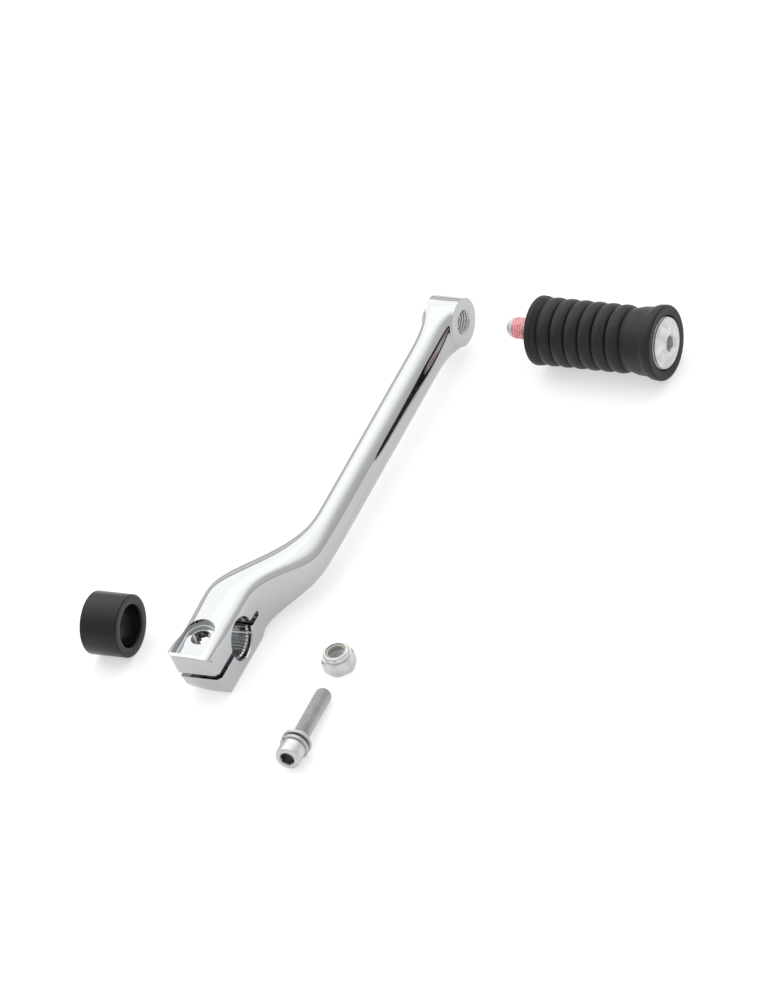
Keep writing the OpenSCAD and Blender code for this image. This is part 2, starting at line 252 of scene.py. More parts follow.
def prism(name, outline, low, high):
    """A closed upright prism from an outline of (x, y) points."""
    bpy.ops.mesh.primitive_circle_add(vertices=len(outline), radius=MM, fill_type="NGON")
    piece = bpy.context.object
    piece.name = name
    for vertex, (x, y) in zip(piece.data.vertices, outline):
        vertex.co = (x, y, low)
    edit(piece)
    bpy.ops.mesh.extrude_region_move(TRANSFORM_OT_translate={"value": (0, 0, high - low)})
    leave_edit()
    return tidy(piece)


def arc(centre, radius, start, end, steps):
    """Points along an arc, in degrees, both ends included."""
    turns = [math.radians(start + (end - start) * i / steps) for i in range(steps + 1)]
    return [(centre[0] + radius * math.cos(t), centre[1] + radius * math.sin(t)) for t in turns]


def hexagon(flats):
    return arc((0, 0), flats / 2 / math.cos(math.radians(30)), 0, 300, 5)


def helix_rod(name, radius, depth, pitch, low, high, steps=48):
    """A threaded rod about Z with V grooves, cut square at both ends."""
    shape = [(0, 0), (0.10, 0), (0.44, 1), (0.56, 1), (0.90, 0), (1, 0)]
    bpy.ops.mesh.primitive_circle_add(vertices=len(shape), radius=MM)
    piece = bpy.context.object
    piece.name = name
    start = low - 2 * pitch
    for vertex, (along, rise) in zip(piece.data.vertices, shape):
        vertex.co = (radius - depth + rise * depth, 0, start + along * pitch)
    last = len(shape) - 1
    on_picked(piece, "edges", lambda e: set(e.vertices) == {0, last}, bpy.ops.mesh.delete, type="EDGE")
    turns = math.ceil((high - low) / pitch) + 4
    modify(piece, "SCREW", angle=math.tau, screw_offset=pitch, iterations=turns, steps=steps,
           render_steps=steps)
    tidy(piece, 2e-6)
    for height, outward in ((low, -1), (high, 1)):
        edit(piece)
        bpy.ops.mesh.bisect(plane_co=(0, 0, height), plane_no=(0, 0, outward), use_fill=True,
                            clear_outer=True, threshold=FINE)
        leave_edit()
    return tidy(place(piece, Matrix.Rotation(0.013, 4, "Z")))


def open_edges(piece):
    """How many edges don't lie between exactly two faces."""
    sides = {}
    for face in piece.data.polygons:
        for edge in face.edge_keys:
            sides[edge] = sides.get(edge, 0) + 1
    return sum(1 for count in sides.values() if count != 2)


def finish_piece(piece, material, body, nodes, smooth=35):
    """Shades a finished piece, gives it its material and hangs it on its body."""
    if open_edges(piece):
        raise RuntimeError(f"{piece.name} is not closed: {open_edges(piece)} open edges")
    select_only(piece)
    bpy.ops.object.shade_smooth_by_angle(angle=math.radians(smooth))
    piece.data.materials.clear()
    piece.data.materials.append(material)
    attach(piece, body)
    if nodes:
        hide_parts(*nodes)
    return piece


# ---------------------------------------------------------------- materials

class Sheet:
    """The node tree of one material, or of the world."""

    def __init__(self, name, world=None):
        self.material = world or bpy.data.materials.new(name)
        self.material.use_nodes = True
        self.tree = self.material.node_tree
        self.tree.nodes.clear()
        self.output = self.tree.nodes.new("ShaderNodeOutputWorld" if world else "ShaderNodeOutputMaterial")

    def node(self, kind, settings=None, numbered=(), **sockets):
        """Adds a node, makes its settings, then sets or links its sockets, by number or by name."""
        made = self.tree.nodes.new(kind)
        for key, value in (settings or {}).items():
            setattr(made, key, value)
        for index, value in dict(numbered).items():
            self.plug(made.inputs[index], value)
        for key, value in sockets.items():
            self.plug(made.inputs[key.replace("_", " ")], value)
        return made

    def plug(self, socket, value):
        if isinstance(value, Value):
            value = value.socket
        if isinstance(value, bpy.types.NodeSocket):
            self.tree.links.new(value, socket)
        else:
            socket.default_value = value

    def place(self):
        """Object coordinates, which stay with the metal."""
        return self.node("ShaderNodeTexCoord").outputs["Object"]

    def vector_math(self, operation, *values):
        return self.node("ShaderNodeVectorMath", {"operation": operation}, enumerate(values))

    def from_axis(self, point, direction=(0, 1, 0)):
        """Distance from the axis through a point."""
        away = self.vector_math("SUBTRACT", self.place(), point).outputs["Vector"]
        across = self.vector_math("CROSS_PRODUCT", away, direction).outputs["Vector"]
        return Value(self, self.vector_math("LENGTH", across).outputs["Value"])

    def noise(self, scale, detail=3, roughness=0.5, where=None):
        made = self.node("ShaderNodeTexNoise", Vector=where or self.place(), Scale=scale, Detail=detail,
                         Roughness=roughness)
        return Value(self, made.outputs["Fac"])

    def blend(self, factor, first, second):
        """Mixes two colours."""
        return self.node("ShaderNodeMix", {"data_type": "RGBA"}, {0: factor, 6: first, 7: second}).outputs[2]

    def bump(self, height, distance, strength=1.0, normal=None):
        made = self.node("ShaderNodeBump", Height=height, Distance=distance, Strength=strength)
        if normal is not None:
            self.plug(made.inputs["Normal"], normal)
        return made.outputs["Normal"]

    def rounded(self, radius):
        """A normal that rounds the edges a little, as polishing and plating do."""
        return self.node("ShaderNodeBevel", {"samples": 6}, Radius=radius).outputs["Normal"]

    def surface(self, **sockets):
        """The finished shader."""
        shader = self.node("ShaderNodeBsdfPrincipled", **sockets)
        self.tree.links.new(shader.outputs["BSDF"], self.output.inputs["Surface"])
        return self.material


class Value:
    """A number that varies over a surface, with its arithmetic as Math nodes."""

    def __init__(self, sheet, socket):
        self.sheet = sheet
        self.socket = socket

    def math(self, operation, *others, first=None):
        values = enumerate([self if first is None else first, *others])
        return Value(self.sheet,
                     self.sheet.node("ShaderNodeMath", {"operation": operation}, values).outputs[0])

    def __add__(self, other):
        return self.math("ADD", other)

    __radd__ = __add__

    def __mul__(self, other):
        return self.math("MULTIPLY", other)

    __rmul__ = __mul__

    def __sub__(self, other):
        return self.math("SUBTRACT", other)

    def __rsub__(self, other):
        return self.math("SUBTRACT", self, first=other)

    def clamp(self, low, high):
        return self.math("MAXIMUM", low).math("MINIMUM", high)

    def ramp(self, low, high):
        """0 below low, 1 above high, smooth between them."""
        made = self.sheet.node("ShaderNodeMapRange", {"interpolation_type": "SMOOTHSTEP"}, Value=self,
                               From_Min=low, From_Max=high)
        return Value(self.sheet, made.outputs["Result"])


def rgba(colour, gain=1.0):
    return (*[min(1.0, c * gain) for c in colour], 1.0)


def chrome_plate(colour):
    """Polished chrome: a hint of haze, faint buffing lines along the lever."""
    sheet = Sheet("chrome_plate")
    haze = sheet.noise(90, 4)
    stretched = sheet.node("ShaderNodeMapping", Vector=sheet.place(), Scale=(60, 900, 900))
    buffing = sheet.noise(1.0, 2, where=stretched.outputs["Vector"])
    normal = sheet.rounded(0.14 * MM)
    return sheet.surface(
        Base_Color=sheet.blend(haze, rgba(colour, 0.97), rgba(colour, 1.03)),
        Metallic=1.0,
        Roughness=0.035 + haze * 0.03 + buffing * 0.02,
        Normal=sheet.bump(haze + buffing * 0.3, 0.004 * MM, 0.25, normal),
    )


def zinc_plate(name, colour, roughness=0.34, mottle=0.16, grain=900, edge=0.15 * MM, shaded_roots=None):
    """Zinc plated steel: matt, cloudy, with fine pits; when given, the thread roots are painted darker as
    painted shade.
    """
    sheet = Sheet(name)
    cloud = sheet.noise(260, 5, 0.6)
    pits = sheet.noise(grain, 4, 0.7)
    plated = sheet.blend(cloud.ramp(0.35, 0.7), rgba(colour, 1 - mottle), rgba(colour, 1 + mottle * 0.6))
    # Painted shade: between the root and crest radii the thread's grooves are painted darker.
    if shaded_roots:
        point, direction, root, crest = shaded_roots
        plated = sheet.blend(sheet.from_axis(point, direction).ramp(root, crest), rgba(colour, 0.42), plated)
    return sheet.surface(
        Base_Color=plated,
        Metallic=1.0,
        Roughness=(roughness - 0.06 + cloud * 0.16).clamp(0.05, 1.0),
        Normal=sheet.bump(pits * 0.7 + cloud * 0.3, 0.05 * MM, 0.5, sheet.rounded(edge)),
    )


def turned_steel(colour):
    """Plain turned steel of the bush."""
    sheet = Sheet("turned_steel")
    rings = sheet.node("ShaderNodeTexWave", {"bands_direction": "Y"}, Vector=sheet.place(), Scale=900.0,
                       Distortion=1.5)
    lines = Value(sheet, rings.outputs["Fac"])
    return sheet.surface(
        Base_Color=sheet.blend(sheet.noise(200), rgba(colour, 0.85), rgba(colour)),
        Metallic=1.0,
        Roughness=0.28 + lines * 0.12,
        Normal=sheet.bump(lines, 0.01 * MM, 0.4),
    )


def moulded_rubber(colour, groove):
    """Satin black rubber with a dusty bloom on the ridge crowns and a fine moulded grain; the grooves are
    painted nearly black as painted shade.
    """
    sheet = Sheet("moulded_rubber")
    bloom = sheet.noise(70, 5, 0.6)
    grain = sheet.noise(1600, 3, 0.6)
    speck = sheet.noise(520, 4, 0.7)
    ringed = sheet.node("ShaderNodeMapping", Vector=sheet.place(), Scale=(110, 1500, 110))
    streak = sheet.noise(1.0, 4, 0.6, where=ringed.outputs["Vector"])
    # Ramp from groove to crown: the grooves are painted darker as painted shade, and the grey dust lies on
    # the crowns only.
    shaded_groove_to_crown = sheet.from_axis(EYE_AXIS).ramp(groove, groove + 0.9 * MM)
    satin = sheet.blend(bloom.ramp(0.3, 0.75), rgba(colour, 0.8), rgba(colour, 1.6))
    dusty = sheet.blend((speck.ramp(0.56, 0.72) * 0.5 + streak.ramp(0.58, 0.72) * 0.35) * shaded_groove_to_crown, satin,
                        rgba((0.034, 0.037, 0.038)))
    return sheet.surface(
        # Painted shade: the grooves take a quarter of the rubber's colour.
        Base_Color=sheet.blend(shaded_groove_to_crown, rgba(colour, 0.25), dusty),
        Metallic=0.0,
        Specular_IOR_Level=0.3,
        Roughness=(0.30 + bloom * 0.14 + speck * 0.14).clamp(0.2, 0.9),
        Normal=sheet.bump(grain * 0.4 + speck * 0.4 + streak * 0.3, 0.08 * MM, 0.5),
    )


def turned_plastic(colour):
    """Black plastic with a soft sheen and fine turning lines."""
    sheet = Sheet("turned_plastic")
    rings = sheet.node("ShaderNodeTexWave", {"bands_direction": "Y"}, Vector=sheet.place(), Scale=420.0,
                       Distortion=2.0, Detail=2.0)
    lines = Value(sheet, rings.outputs["Fac"])
    cloud = sheet.noise(120, 4)
    return sheet.surface(
        Base_Color=sheet.blend(cloud, rgba(colour, 0.8), rgba(colour, 1.5)),
        Metallic=0.0,
        Specular_IOR_Level=0.3,
        Roughness=0.22 + cloud * 0.12 + lines * 0.05,
        Normal=sheet.bump(lines * 0.5 + cloud * 0.5, 0.02 * MM, 0.35, sheet.rounded(0.2 * MM)),
    )


def dried_adhesive(colour):
    """Dried thread lock: chalky red, thicker in places."""
    sheet = Sheet("dried_adhesive")
    cloud = sheet.noise(700, 5, 0.65)
    return sheet.surface(
        Base_Color=sheet.blend(cloud.ramp(0.3, 0.7), rgba(colour, 0.85), rgba((0.86, 0.36, 0.36))),
        Metallic=0.0,
        Roughness=0.45 + cloud * 0.2,
        Normal=sheet.bump(cloud, 0.06 * MM, 0.6),
    )


def natural_nylon(colour):
    """Off-white nylon of the locking ring."""
    sheet = Sheet("natural_nylon")
    cloud = sheet.noise(500, 3)
    return sheet.surface(
        Base_Color=sheet.blend(cloud, rgba(colour, 0.9), rgba(colour, 1.05)),
        Metallic=0.0,
        Roughness=0.36 + cloud * 0.15,
        Normal=sheet.bump(cloud, 0.02 * MM, 0.4, sheet.rounded(0.15 * MM)),
    )


# ---------------------------------------------------------------- the lever

def ease(t):
    u = min(1.0, max(0.0, t))
    return u * u * (3 - 2 * u)


def mix(a, b, t):
    return a + (b - a) * t


class LeverShape:
    """Sides of the lever's section at any distance from the shaft, in metres."""

    def __init__(self, settings):
        half_w = settings.clamp_width / 2
        half_h = settings.clamp_height / 2
        self.s = settings
        self.half_w = half_w
        self.half_h = half_h
        self.eye = Vector((EYE_AXIS.x, LEVER_LOW.y + settings.eye_length / 2, EYE_AXIS.z))
        self.jog_start = settings.slit_end + 2 * MM
        self.jog_out = 25 * MM
        self.jog_in = 43 * MM
        self.mid_start = self.eye.y + 0.7 * MM

    def step_out(self, x):
        return ease((x - self.jog_start) / self.jog_out)

    def step_in(self, x):
        return ease((max(0, x - self.jog_start) / self.jog_in) ** 0.8)

    def middle(self, x):
        far = max(0, x - self.jog_start - self.jog_in) / (self.eye.x - self.jog_start - self.jog_in)
        return mix(self.mid_start, self.eye.y, far), mix(0, self.eye.z, far)

    def sides(self, x):
        """Outboard y, inboard y, bottom z and top z of the section."""
        y, z = self.middle(x)
        w, h = self.s.arm_width / 2, self.s.arm_height / 2
        out, into = self.step_out(x), self.step_in(x)
        return (mix(-self.half_w, y - w, out), mix(self.half_w, y + w, into),
                mix(-self.half_h, z - h, out), mix(self.half_h, z + h, into))


CAGE_SHRINK = 0.9018  # how far a smoothed octagon lies inside its corners
STATIONS = (118, 88, 66, 57, 50, 43, 36, 29, 22, 15.5, 9, 0, -10)  # sections, in mm from the shaft
CLAMP_FRONT = (-17.0 * MM, -19.9 * MM, -22.1 * MM, -23.05 * MM)  # where each row ends, bottom to top


def lever_cage(shape):
    """Coarse cage of the lever: the eye's octagonal barrel, and the arm drawn out of its side."""
    s = shape.s
    eye = shape.eye
    radius = s.eye_diameter / 2 / CAGE_SHRINK
    bpy.ops.mesh.primitive_cylinder_add(vertices=8, radius=radius, depth=s.eye_length)
    cage = bpy.context.object
    cage.name = "lever_body"
    place(cage, Matrix.Translation(eye) @ Matrix.Rotation(math.radians(90), 4, "X")
          @ Matrix.Rotation(math.radians(22.5), 4, "Z"))
    band = s.arm_width / 2 + 0.1 * MM
    for y in (-band, 0, band):
        edit(cage)
        bpy.ops.mesh.bisect(plane_co=(eye.x, eye.y + y, eye.z), plane_no=(0, 1, 0))
        leave_edit()
    pick(cage, "polygons", lambda f: abs(f.center.y - eye.y) < band and f.normal.x < -0.5
         and abs(f.normal.y) < 0.1)
    edit_selected(cage)
    leave_edit()
    number_corners(cage)
    for x in (eye.x - 13.5 * MM, eye.x - 24 * MM, *(station * MM for station in STATIONS)):
        draw_out(cage, shape, x)
    draw_out(cage, shape, -16 * MM, front=True)
    crease(cage, shape)
    return cage


def number_corners(cage):
    """Numbers the selected vertices by column and row; drawn-out copies keep their numbers."""
    picked = [v for v in cage.data.vertices if v.select]
    for name, axis in (("column", 1), ("row", 2)):
        levels = []
        for value in sorted(v.co[axis] for v in picked):
            if not levels or value - levels[-1] > 0.2 * MM:
                levels.append(value)
        numbers = cage.data.attributes.new(name, "INT", "POINT").data
        for v in picked:
            numbers[v.index].value = min(range(len(levels)), key=lambda i: abs(levels[i] - v.co[axis]))


def corner_pulls(shape, x):
    """How far each numbered corner of the section moves towards its middle: sideways, and up or down."""
    arm = shape.step_out(x)
    behind = ease((x + 9 * MM) / (16 * MM))
    return {
        (0, 3): (mix(1.0, 1.8, arm) * MM, mix(0.8, 1.9, arm) * MM),
        (2, 3): (0.3 * MM, mix(0.2, 0.9, behind) * MM),
        (2, 2): (0, -3.2 * MM * behind * (1 - shape.step_in(x))),
        (1, 3): (0, -0.45 * MM * arm),
        (1, 0): (0, -0.40 * MM * arm),
        (0, 0): (mix(0.2, 1.5, arm) * MM, mix(0.2, 1.5, arm) * MM),
        (2, 0): (mix(1.5, 1.9, 1 - arm) * MM, mix(1.5, 1.9, 1 - arm) * MM),
    }


def draw_out(cage, shape, x, front=False):
    """Extrudes the selected end faces and moves their vertices to the section at x."""
    bpy.ops.object.mode_set(mode="EDIT")
    bpy.ops.mesh.extrude_region_move(TRANSFORM_OT_translate={"value": (-BIG, 0, 0)})
    leave_edit()
    outer, inner, low, high = shape.sides(x)
    columns = cage.data.attributes["column"].data
    rows = cage.data.attributes["row"].data
    inset = mix((high - low) * 0.27, 6.0 * MM, shape.step_out(x))
    across = (outer, (outer + inner) / 2, inner)
    upright = (low, low + inset, high - inset, high)
    pulls = corner_pulls(shape, x)
    for v in (v for v in cage.data.vertices if v.select):
        i, j = columns[v.index].value, rows[v.index].value
        inwards, towards = pulls.get((i, j), (0, 0))
        side, rise = 1 - i, (1 if j < 2 else -1)
        v.co = (CLAMP_FRONT[j] if front else x, across[i] + side * inwards, upright[j] + rise * towards)


def crease(cage, shape):
    """Tightens the edges that stay crisp: the eye's rims, the clamp's front and its long edges."""
    eye, half_l = shape.eye, shape.s.eye_length / 2
    corners = cage.data.vertices

    def tighten(value, test, least=None):
        """Creases the edges whose ends both pass, and which run at least so far along the lever."""
        def passes(e):
            a, b = (corners[i].co for i in e.vertices)
            return test(a) and test(b) and (least is None or abs(a.x - b.x) > least)
        on_picked(cage, "edges", passes, bpy.ops.transform.edge_crease, value=value)

    tighten(0.72, lambda c: abs(abs(c.y - eye.y) - half_l) < 1e-5 and c.x > eye.x - 12 * MM)
    tighten(0.60, lambda c: c.x < -16.9 * MM and (abs(abs(c.y) - shape.half_w) < 3.5 * MM
                                                  or abs(c.z) > 8 * MM))
    near = 1.3 * MM
    for value, y_sign, z_sign, end in ((0.30, -1, 1, -9 * MM), (0.45, 1, 1, -9 * MM),
                                       (0.50, -1, -1, 16 * MM)):
        tighten(value, lambda c: (c.x < end and c.y * y_sign > shape.half_w - near
                                  and c.z * z_sign > shape.half_h - near), 2 * MM)


def along_y(piece, y=0.0, x=0.0, z=0.0):
    """Turns a piece made about Z onto the Y axis: its +Z end points outboard."""
    return place(piece, Matrix.Translation((x, y, z)) @ Matrix.Rotation(math.radians(90), 4, "X"))


def cut_spline(body, s):
    """The toothed bore and its smooth entry."""
    tooth = math.tau / s.spline_teeth
    tip, root = s.spline_radius, s.spline_radius + s.spline_depth
    profile = ((-0.5, root), (-0.41, root), (-0.27, tip), (0.27, tip), (0.41, root))
    outline = [(radius * math.cos((i + part) * tooth), radius * math.sin((i + part) * tooth))
               for i in range(s.spline_teeth) for part, radius in profile]
    combine(body, along_y(prism("spline_cutter", outline, -BIG, BIG)))
    edge = s.clamp_width / 2
    wide = root + 0.42 * MM
    outer = [(0, 2.9 * MM), (0, -0.5 * MM), (wide + 0.3 * MM, -0.5 * MM), (wide - 0.14 * MM, 0.3 * MM),
             (root + 0.08 * MM, 0.7 * MM), (root + 0.04 * MM, 2.2 * MM), (tip, 2.9 * MM)]
    entry = lathe("entry_cutter", outer, 96)
    combine(body, place(entry, Matrix.Translation((0, -edge, 0))
                        @ Matrix.Rotation(math.radians(-90), 4, "X")))
    inner = [(0, 0.7 * MM), (0, -0.5 * MM), (wide + 0.6 * MM, -0.5 * MM), (tip, 0.7 * MM)]
    combine(body, along_y(lathe("relief_cutter", inner, 96), edge))


def cut_slit(body, s):
    """The slit, with its round end behind the bore."""
    half = s.slit_width / 2
    round_end = arc((s.slit_end - half, 0), half, -90, 90, 16)
    outline = [(-BIG, -half), *round_end, (-BIG, half)]
    combine(body, along_y(prism("slit_cutter", outline, -BIG, BIG)))


def cut_pocket(body, s):
    """The pocket for the screw's head, and the bolt hole through both jaws."""
    top = s.clamp_height / 2
    floor = top - s.pocket_depth
    x, y, r = -s.bolt_back, s.bolt_inboard, s.pocket_radius
    front = LEVER_LOW.x + 1.9 * MM
    corner = 0.9 * MM
    outline = [*arc((x, y), r, -90, 90, 32), *arc((front + corner, y + r - corner), corner, 90, 180, 6),
               *arc((front + corner, y - r + corner), corner, 180, 270, 6)]
    pocket = prism("pocket_cutter", outline, floor, top + 3 * MM)
    on_picked(pocket, "edges", lambda e: all(pocket.data.vertices[i].co.z < floor + 1e-5 for i in e.vertices),
              bpy.ops.mesh.bevel, offset=0.5 * MM, segments=4)
    combine(body, pocket)
    hole = lathe("bolt_cutter", [(0, -BIG), (3.5 * MM, -BIG), (3.5 * MM, floor - 0.25 * MM),
                                 (3.9 * MM, floor + 0.15 * MM), (0, floor + 0.15 * MM)], 64)
    combine(body, place(hole, Matrix.Translation((x, y, 0))))


def cut_eye(body, shape):
    """The threaded hole through the eye, countersunk at both ends."""
    s, eye = shape.s, shape.eye
    half = s.eye_length / 2
    wide = 4.75 * MM
    for end in (-1, 1):
        sink = lathe("sink_cutter", [(0, -0.75 * MM), (0, 0.6 * MM), (wide + 0.56 * MM, 0.6 * MM),
                                     (4.05 * MM, -0.75 * MM)], 64)
        turn = Matrix.Rotation(math.radians(90 if end < 0 else -90), 4, "X")
        combine(body, place(sink, Matrix.Translation((eye.x, eye.y + end * half, eye.z)) @ turn))
    thread = helix_rod("eye_thread", 4.42 * MM, 0.34 * MM, 1.058 * MM, -half - 2 * MM, half + 2 * MM, 48)
    combine(body, along_y(thread, eye.y, eye.x, eye.z))


def shape_front(body, shape):
    """Rounds the clamp's inboard front corner and breaks the outboard one with a flat."""
    w, r = shape.half_w, 4.2 * MM
    front = -21.4 * MM
    upper_jaw, lower_jaw = (0.14, 0, 14 * MM), (0.30, -14 * MM, 0)
    for slope, low, high in (upper_jaw, lower_jaw):
        round_off = [(front + r, w + MM), (front - 3 * MM, w + MM), (front - 3 * MM, w - r),
                     *arc((front + r, w - r), r, 180, 90, 16)]
        flat = [(front - 3 * MM, -w - MM), (front + 2.1 * MM, -w - MM), (front + 1.9 * MM, -w),
                (front, -w + 1.9 * MM), (front - 3 * MM, -w + 2.4 * MM)]
        for outline in (round_off, flat):
            cutter = prism("corner_cutter", outline, low, high)
            for vertex in cutter.data.vertices:
                vertex.co.x -= slope * vertex.co.z
            combine(body, cutter)


class SHIFTLEVER_OT_lever(bpy.types.Operator):
    """Builds the chromed lever: clamp, arm and eye."""

    bl_idname = "shiftlever.lever"
    bl_label = "Lever"

    def execute(self, context):
        s = context.scene.lever_settings
        shape = LeverShape(s)
        body = lever_cage(shape)
        modify(body, "SUBSURF", levels=4, render_levels=4)
        shape_front(body, shape)
        cut_spline(body, s)
        cut_slit(body, s)
        cut_pocket(body, s)
        cut_eye(body, shape)
        finish_piece(body, chrome_plate(s.chrome), "lever", ["lever"], 32)
        return {"FINISHED"}


# ---------------------------------------------------------------- the toe peg

def peg_axis(piece, y):
    """Puts a piece made about Z on the peg's axis: local height 0 comes to y, and grows outboard."""
    return along_y(piece, y, EYE_AXIS.x, EYE_AXIS.z)


def rubber_outline(s, long, recess, flange, hole):
    """Outline of the rubber from its inner end, with soft ridges and a raised outer flange."""
    groove = s.ridge_radius - s.ridge_depth
    pitch = (long - s.collar - s.band) / s.ridges
    lip = s.ridge_radius + 0.25 * MM
    points = [(hole, 0), (s.ridge_radius - 1.3 * MM, 0),
              *arc((lip - 1.1 * MM, 1.1 * MM), 1.1 * MM, -90, 0, 6)]
    points += [(lip - 0.15 * MM, 2.6 * MM), (lip - 0.1 * MM, s.collar - 2.2 * MM),
               (lip - 0.35 * MM, s.collar - 1.2 * MM), (groove + 0.2 * MM, s.collar - 0.3 * MM)]
    for i in range(s.ridges * 12 + 1):
        t = i / 12
        rise = abs(math.sin(math.pi * t)) ** 0.5
        points.append((groove + s.ridge_depth * rise, s.collar + pitch * t))
    start = long - s.band
    points += [(groove + 0.35 * MM, start + 0.9 * MM), (groove + 0.6 * MM, start + 2.2 * MM),
               (s.ridge_radius, start + 5 * MM), (s.ridge_radius + 0.25 * MM, long - 5.2 * MM),
               (s.ridge_radius + 0.45 * MM, long - 4.7 * MM), (flange - 0.45 * MM, long - 4.0 * MM),
               (flange - 0.12 * MM, long - 3.0 * MM)]
    points += arc((flange - 1.0 * MM, long - 1.0 * MM), 1.0 * MM, 0, 90, 7)
    points += [(recess + 1.7 * MM, long - 0.15 * MM),
               *arc((recess + 0.6 * MM, long - 0.75 * MM), 0.6 * MM, 90, 180, 5)]
    return points


class SHIFTLEVER_OT_peg_rubber(bpy.types.Operator):
    """Builds the ribbed rubber of the toe peg."""

    bl_idname = "shiftlever.peg_rubber"
    bl_label = "Peg rubber"

    def execute(self, context):
        s = context.scene.peg_settings
        long = RUBBER_HIGH.y - RUBBER_LOW.y
        flange = (RUBBER_HIGH.z - RUBBER_LOW.z) / 2 - 0.01 * MM
        hole = (BUSH_HIGH.z - BUSH_LOW.z) / 2 + 0.06 * MM
        head = (STUD_HIGH.z - STUD_LOW.z) / 2
        recess = head + 0.4 * MM
        floor = BUSH_HIGH.y - BUSH_LOW.y
        outline = rubber_outline(s, long, recess, flange, hole)
        outline += [(recess, floor), (hole, floor)]
        piece = peg_axis(lathe("rubber_sleeve", outline, 160), RUBBER_HIGH.y)
        material = moulded_rubber(s.rubber, s.ridge_radius - s.ridge_depth)
        finish_piece(piece, material, "rubber", ["peg_rubber"], 40)
        return {"FINISHED"}


class SHIFTLEVER_OT_peg_screw(bpy.types.Operator):
    """Builds the long domed screw with its rolled thread, and the thread lock on it."""

    bl_idname = "shiftlever.peg_screw"
    bl_label = "Peg screw"

    def execute(self, context):
        s = context.scene.peg_settings
        radius = (PATCH_HIGH.z - PATCH_LOW.z) / 2 - 0.08 * MM
        head = (STUD_HIGH.z - STUD_LOW.z) / 2
        tip = STUD_HIGH.y
        total = STUD_HIGH.y - STUD_LOW.y
        under = total - 4.4 * MM
        thread_end = 24 * MM
        rod = helix_rod("stud_thread", radius, 0.32 * MM, s.thread_pitch, 0, thread_end)
        limit = [(0, 0), (1.1 * MM, 0.06 * MM), (2.0 * MM, 0.35 * MM), (2.75 * MM, 0.9 * MM),
                 (3.3 * MM, 1.6 * MM), (3.65 * MM, 2.4 * MM), (radius + 0.05 * MM, 3.4 * MM),
                 (radius + 0.05 * MM, thread_end - 0.6 * MM), (0, thread_end - 0.6 * MM)]
        combine(rod, lathe("stud_envelope", limit, 64), "INTERSECT")
        dome = [(head - 0.35 * MM, 1.75 * MM)]
        for a in (76, 68, 60, 50, 40, 30, 20, 10):
            drop = 2.5 * MM * (1 - math.cos(math.radians(a))) * 1.05
            dome.append((head * math.sin(math.radians(a)), 4.4 * MM - drop))
        outline = [(0, -under + thread_end - 1.5 * MM), (radius - 0.1 * MM, -under + thread_end - 1.5 * MM),
                   (radius - 0.1 * MM, 0), (head - 0.5 * MM, 0), (head, 0.35 * MM), (head, 1.35 * MM),
                   (head - 0.12 * MM, 1.6 * MM), *dome, (0, 4.4 * MM)]
        body = place(lathe("stud_head", outline, 128), Matrix.Translation((0, 0, under)))
        combine(rod, body, "UNION")
        socket = prism("hex_cutter", hexagon(5.56 * MM), under + 1.2 * MM, under + 8 * MM)
        combine(rod, socket)
        mouth = lathe("mouth_cutter", [(0, -0.9 * MM), (3.0 * MM, -0.9 * MM), (3.85 * MM, 0.02 * MM),
                                       (3.95 * MM, 2 * MM), (0, 2 * MM)], 64)
        combine(rod, place(mouth, Matrix.Translation((0, 0, under + 4.3 * MM))))
        piece = tidy(peg_axis(rod, tip))
        piece.name = "domed_peg_screw"
        zinc = context.scene.hardware_settings.zinc
        material = zinc_plate("matt_zinc", rgba(zinc, 1.08)[:3], 0.52, 0.16, 1300, 0.08 * MM)
        finish_piece(piece, material, "peg_screw", ["peg_screw"], 30)
        patch = helix_rod("thread_lock_coat", radius + 0.075 * MM, 0.22 * MM, s.thread_pitch,
                          tip - PATCH_HIGH.y, tip - PATCH_LOW.y)
        hole = radius - 0.2 * MM
        combine(patch, lathe("coat_cutter", [(0, -BIG), (hole, -BIG), (hole, BIG), (0, BIG)], 48))
        peg_axis(patch, tip)
        finish_piece(patch, dried_adhesive(s.thread_lock), "peg_screw",
                     ["thread_lock_patch"], 40)
        return {"FINISHED"}


class SHIFTLEVER_OT_peg_bush(bpy.types.Operator):
    """Gives the steel bush its turned finish."""

    bl_idname = "shiftlever.peg_bush"
    bl_label = "Peg bush"

    def execute(self, context):
        zinc = context.scene.hardware_settings.zinc
        node = frame["nodes"]["peg_bush"]
        node.data.materials.clear()
        node.data.materials.append(turned_steel(rgba(zinc, 0.85)[:3]))
        return {"FINISHED"}


# ---------------------------------------------------------------- clamp hardware

SCREW_JOINT = next(j for j in frame["joints"] if j["name"] == "flat_washer_slide")
SCREW_AXIS = Vector(SCREW_JOINT["axis"]).normalized()


def screw_span(node):
    """Nearest and farthest place of a node along the screw's axis."""
    along = [v.co.dot(SCREW_AXIS) for v in frame["nodes"][node].data.vertices]
    return min(along), max(along)


def screw_frame():
    """Matrix from a screw made about Z, head first at height 0, to its place on the bench."""
    points = [v.co for v in frame["nodes"]["flat_washer"].data.vertices]
    low, high = screw_span("flat_washer")
    middle = sum(points, Vector()) / len(points)
    centre = middle + SCREW_AXIS * ((low + high) / 2 - middle.dot(SCREW_AXIS))
    start = centre + SCREW_AXIS * (screw_span("clamp_screw")[0] - centre.dot(SCREW_AXIS))
    turn = Vector((0, 0, 1)).rotation_difference(SCREW_AXIS).to_matrix().to_4x4()
    return Matrix.Translation(start) @ turn


